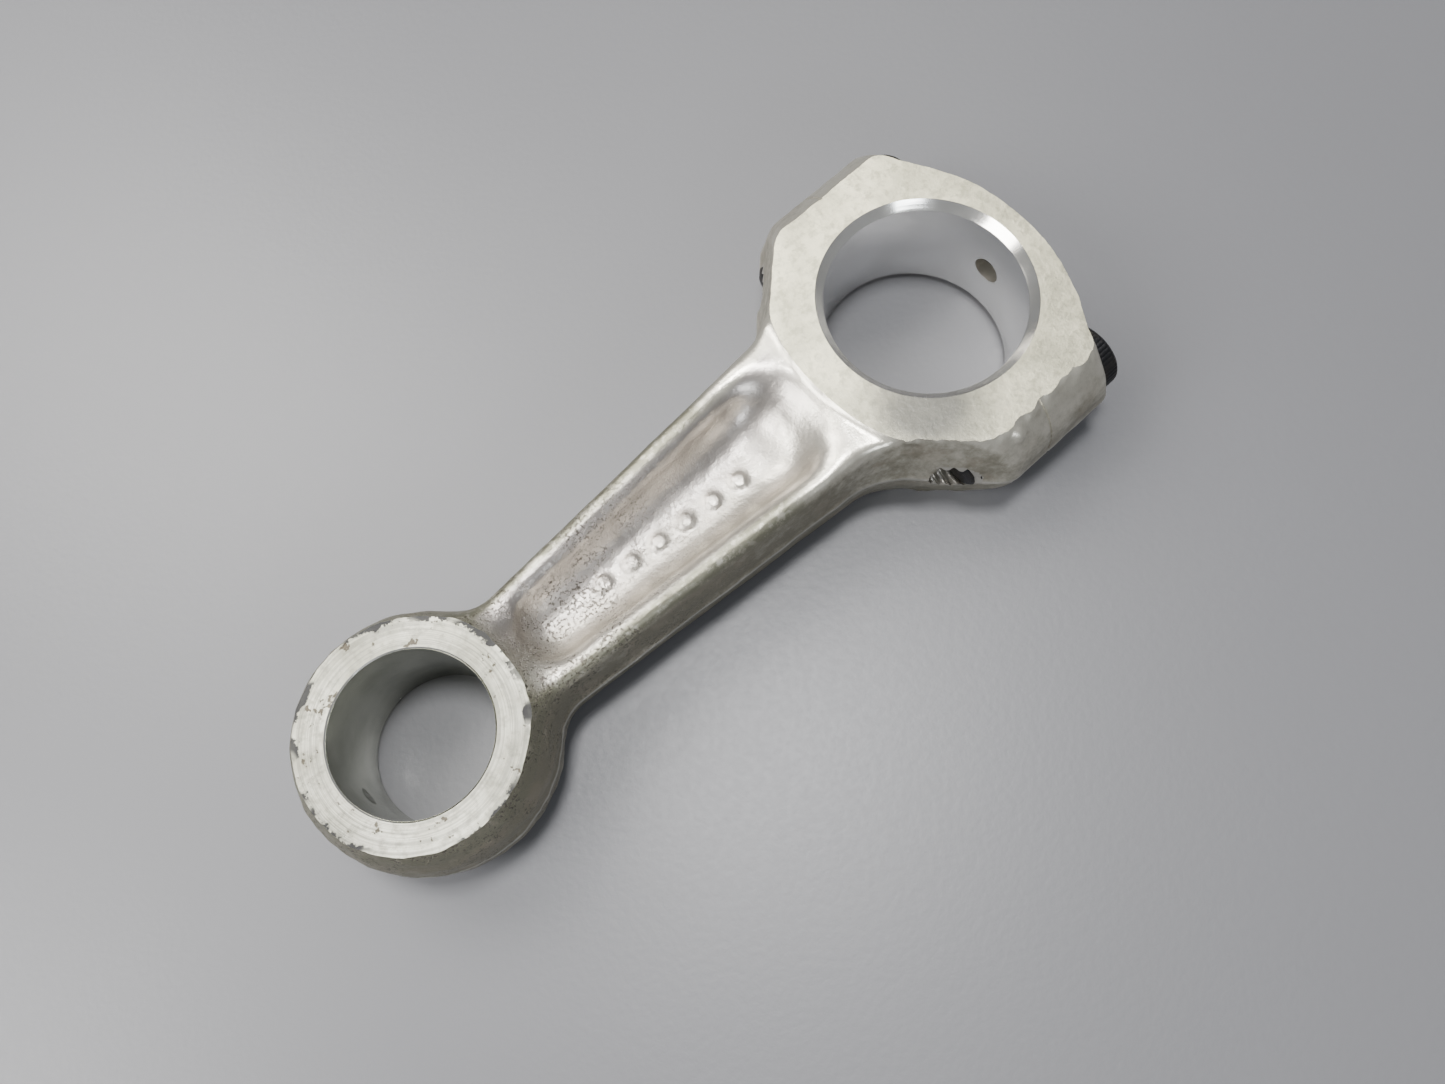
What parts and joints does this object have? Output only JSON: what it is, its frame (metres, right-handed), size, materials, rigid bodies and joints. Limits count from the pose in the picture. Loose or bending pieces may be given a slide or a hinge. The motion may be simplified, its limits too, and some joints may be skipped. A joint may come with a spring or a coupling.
{
  "type": "connecting rod",
  "caption": "Cast aluminium connecting rod with a plain wristpin eye, a recessed tapered beam and a split big end closed by a bolted bearing cap.",
  "frame": {"origin": "centre of the crankpin bore in the big end, half way through the rod's width", "axes": "+X along the rod towards the wristpin bore, +Z along both bores, +Y across"},
  "size_m": [0.1433, 0.0582, 0.0216],
  "materials": {
    "rod_aluminium": "as cast, with machined faces and bores",
    "cap_aluminium": "as cast, with machined faces and bore",
    "black_oxide_steel": "black oxide"
  },
  "bodies": {
    "rod": {"rod": "rod_aluminium"},
    "cap": {"bearing_cap": "cap_aluminium"},
    "screw_left": {"cap_screw_left": "black_oxide_steel"},
    "screw_right": {"cap_screw_right": "black_oxide_steel"}
  },
  "joints": [
    {"name": "cap_lift", "type": "slide", "parent": "rod", "child": "cap", "axis": [-1, 0, 0], "range_m": [0, 0.01693]},
    {"name": "screw_left_turn", "type": "hinge", "parent": "cap", "child": "screw_left", "pos_m": [0, -0.0216, 0], "axis": [-1, 0, 0], "range_deg": [0, 4320]},
    {"name": "screw_right_turn", "type": "hinge", "parent": "cap", "child": "screw_right", "pos_m": [0, 0.0216, 0], "axis": [-1, 0, 0], "range_deg": [0, 4320]}
  ],
  "couplings": [
    {"joint": "screw_left_turn", "follows": "cap_lift", "rad_per_m": 4452.6},
    {"joint": "screw_right_turn", "follows": "cap_lift", "rad_per_m": 4452.6}
  ]
}
